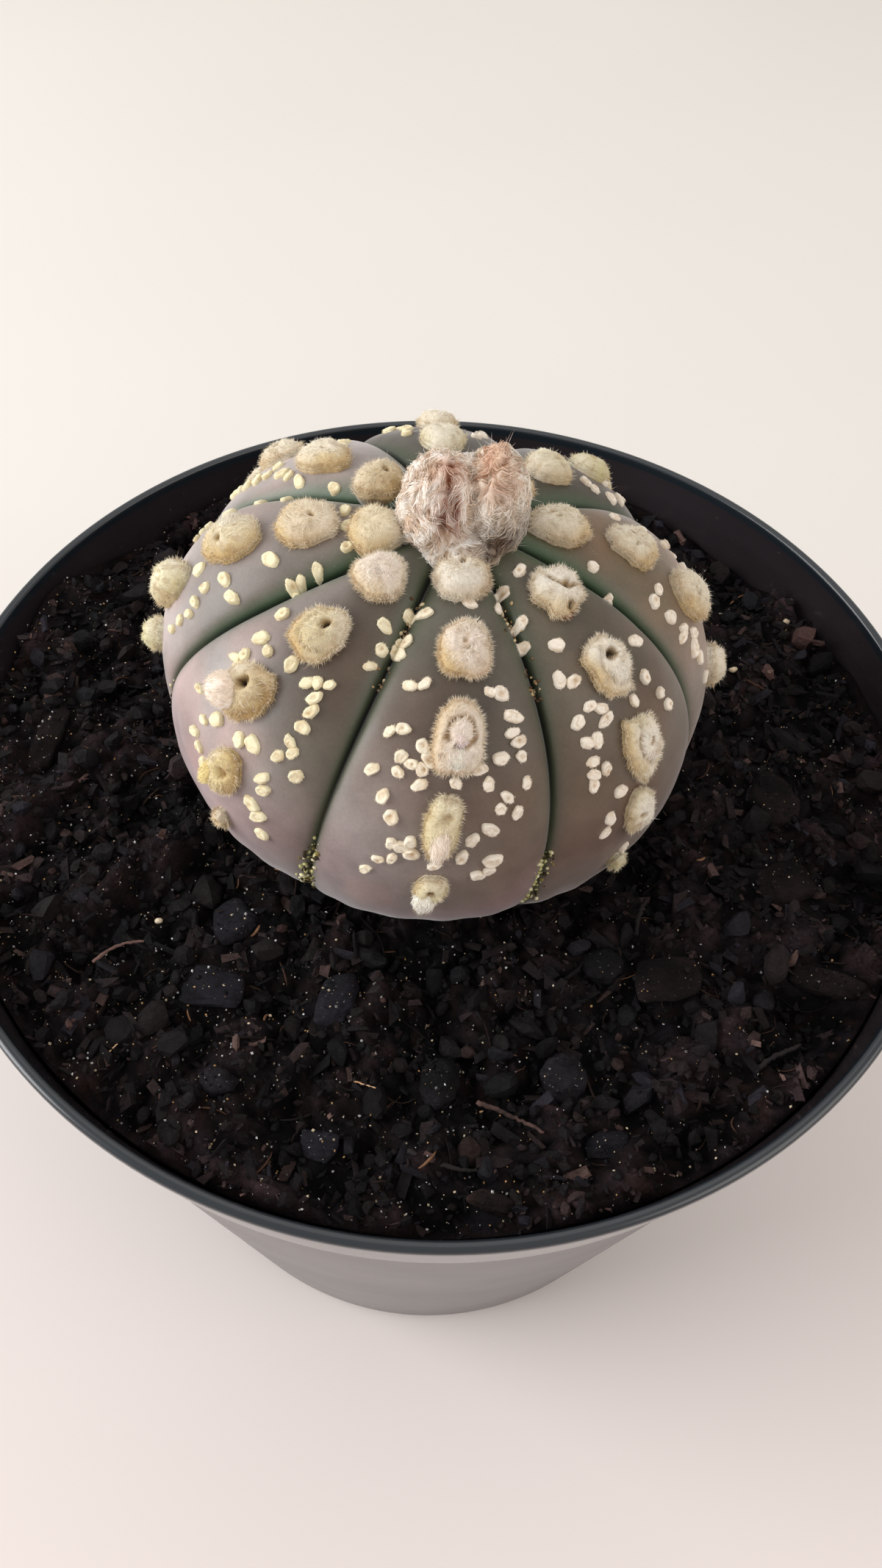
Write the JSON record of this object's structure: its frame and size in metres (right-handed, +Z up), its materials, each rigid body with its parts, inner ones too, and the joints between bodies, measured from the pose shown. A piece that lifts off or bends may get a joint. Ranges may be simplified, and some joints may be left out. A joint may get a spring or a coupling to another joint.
{
  "type": "potted super kabuto sand dollar cactus",
  "caption": "Round plastic nursery pot of dark peaty soil holding a low, ribbed, spineless cactus with woolly areoles, a woolly crown and raised felt flecks.",
  "frame": {"origin": "middle of the pot's base, on the surface it stands on", "axes": "+Z up through the pot's centre line; -Y towards the rib whose areoles have white centres; +X to the right when looking along +Y"},
  "size_m": [0.12, 0.12, 0.143],
  "materials": {
    "pot_plastic": "injection-moulded, glossy on the wall and satin on the lip",
    "soil_mix": "matt dark peat and fine bark with sand grains",
    "cactus_skin": "satin brown-grey plant skin, green in the grooves",
    "areole_wool": "dense short cream wool",
    "crown_wool": "longer cream and rust wool",
    "fleck_felt": "matt cream felt",
    "groove_cork": "rough corky crumbs",
    "bark_slate": "matt weathered bark",
    "bark_brown": "matt bark",
    "bark_rusty": "matt fibrous bark",
    "pebble": "smooth matt stone",
    "pale_grain": "rough pale grit",
    "twig": "dry thin twig",
    "straw": "dry straw"
  },
  "bodies": {
    "root": {"nursery_pot": "pot_plastic", "potting_soil": "soil_mix", "cactus": "cactus_skin", "bark_chip_flat": "bark_slate", "bark_chip_upright": "bark_slate", "bark_chip_side": "bark_slate", "bark_chip_front": "bark_slate", "bark_chip_right_front": "bark_slate", "bark_chip_brown": "bark_brown", "bark_chip_long": "bark_brown", "bark_chip_right": "bark_brown", "bark_chip_far_right": "bark_brown", "bark_lump_left": "bark_brown", "bark_chip_rusty": "bark_rusty", "pebble_oval": "pebble", "pebble_right": "pebble", "pebble_middle": "pebble", "pebble_small": "pebble", "pebble_pair_left": "pebble", "grain_pale_left": "pale_grain", "grain_pale_back": "pale_grain", "grain_pale_right": "pale_grain", "twig_front": "twig", "twig_dark": "twig", "twig_right": "twig", "twig_upright": "twig", "root_strand_left": "twig", "straw_left": "straw", "straw_front": "straw"}
  },
  "joints": []
}
